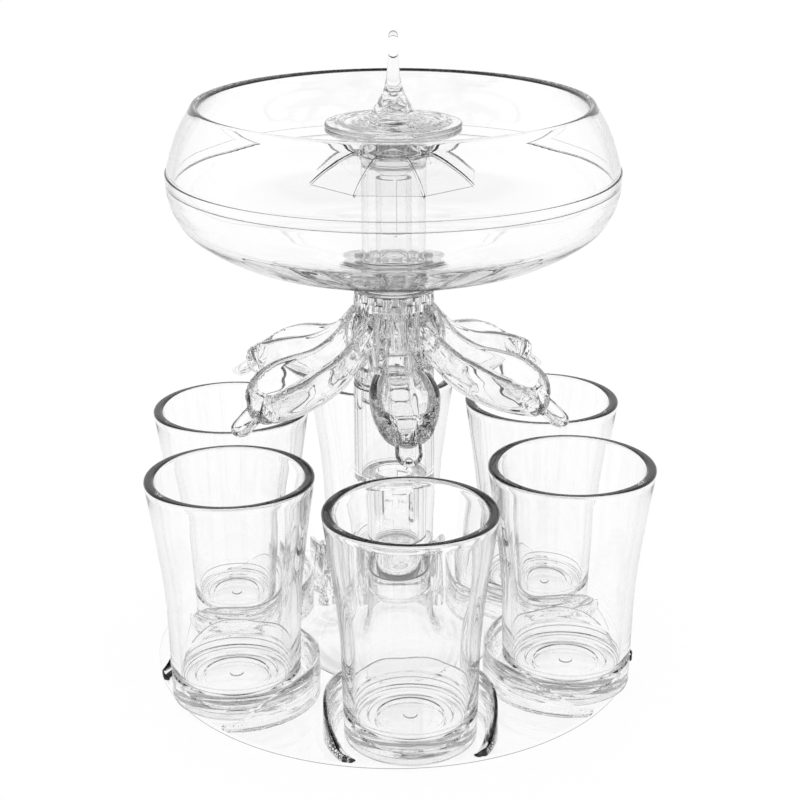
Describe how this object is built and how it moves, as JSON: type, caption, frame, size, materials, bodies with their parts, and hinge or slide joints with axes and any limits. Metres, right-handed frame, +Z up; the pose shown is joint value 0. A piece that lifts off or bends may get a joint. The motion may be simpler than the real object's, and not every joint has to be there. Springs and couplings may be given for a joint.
{
  "type": "party shot dispenser",
  "caption": "Clear bowl on a splash-shaped hub that drains through open spout arms into shot glasses on a round tray, with a drop-shaped lift knob.",
  "frame": {"origin": "on the vertical axis at the tray's underside", "axes": "+Z up through the knob, -Y through the first glass, glasses numbered towards +X"},
  "size_m": [0.1512, 0.167, 0.1961],
  "materials": {
    "tray_acrylic": "clear, polished",
    "splash_acrylic": "clear, rippled",
    "column_acrylic": "clear, polished",
    "arm_acrylic": "clear, rippled",
    "bowl_acrylic": "clear, polished",
    "plunger_acrylic": "clear, polished",
    "knob_acrylic": "clear, polished, rippled",
    "glass_acrylic": "clear, polished",
    "seal_silicone": "translucent, matt"
  },
  "bodies": {
    "base": {"tray": "tray_acrylic", "pedestal": "column_acrylic", "post": "column_acrylic", "splash_ring_1": "splash_acrylic", "splash_ring_2": "splash_acrylic", "splash_ring_3": "splash_acrylic", "splash_ring_4": "splash_acrylic", "splash_ring_5": "splash_acrylic", "splash_ring_6": "splash_acrylic", "splash_crown_1": "splash_acrylic", "splash_crown_2": "splash_acrylic"},
    "head": {"column_sleeve": "column_acrylic", "manifold_hub": "column_acrylic", "neck_gasket": "seal_silicone", "bowl_lower": "bowl_acrylic", "bowl_upper": "bowl_acrylic", "guide_tube": "plunger_acrylic", "spout_arm_1": "arm_acrylic", "spout_arm_2": "arm_acrylic", "spout_arm_3": "arm_acrylic", "spout_arm_4": "arm_acrylic", "spout_arm_5": "arm_acrylic", "spout_arm_6": "arm_acrylic"},
    "plunger": {"plunger_tube": "plunger_acrylic", "stopper_seal": "seal_silicone", "plunger_stem": "plunger_acrylic", "canopy": "plunger_acrylic", "knob_collar": "plunger_acrylic", "knob": "knob_acrylic"},
    "glass_1": {"shot_glass_1": "glass_acrylic"},
    "glass_2": {"shot_glass_2": "glass_acrylic"},
    "glass_3": {"shot_glass_3": "glass_acrylic"},
    "glass_4": {"shot_glass_4": "glass_acrylic"},
    "glass_5": {"shot_glass_5": "glass_acrylic"},
    "glass_6": {"shot_glass_6": "glass_acrylic"}
  },
  "joints": [
    {"name": "head_twist", "type": "hinge", "parent": "base", "child": "head", "pos_m": [0, 0, 0.05], "axis": [0, 0, -1], "range_deg": [0, 28]},
    {"name": "valve_lift", "type": "slide", "parent": "head", "child": "plunger", "axis": [0, 0, 1], "range_m": [0, 0.012]},
    {"name": "glass_1_lift_out", "type": "slide", "parent": "base", "child": "glass_1", "axis": [0, -0.9272, 0.3746], "range_m": [0, 0.09]},
    {"name": "glass_2_lift_out", "type": "slide", "parent": "base", "child": "glass_2", "axis": [0.803, -0.4636, 0.3746], "range_m": [0, 0.09]},
    {"name": "glass_3_lift_out", "type": "slide", "parent": "base", "child": "glass_3", "axis": [0.803, 0.4636, 0.3746], "range_m": [0, 0.09]},
    {"name": "glass_4_lift_out", "type": "slide", "parent": "base", "child": "glass_4", "axis": [0, 0.9272, 0.3746], "range_m": [0, 0.09]},
    {"name": "glass_5_lift_out", "type": "slide", "parent": "base", "child": "glass_5", "axis": [-0.803, 0.4636, 0.3746], "range_m": [0, 0.09]},
    {"name": "glass_6_lift_out", "type": "slide", "parent": "base", "child": "glass_6", "axis": [-0.803, -0.4636, 0.3746], "range_m": [0, 0.09]}
  ]
}
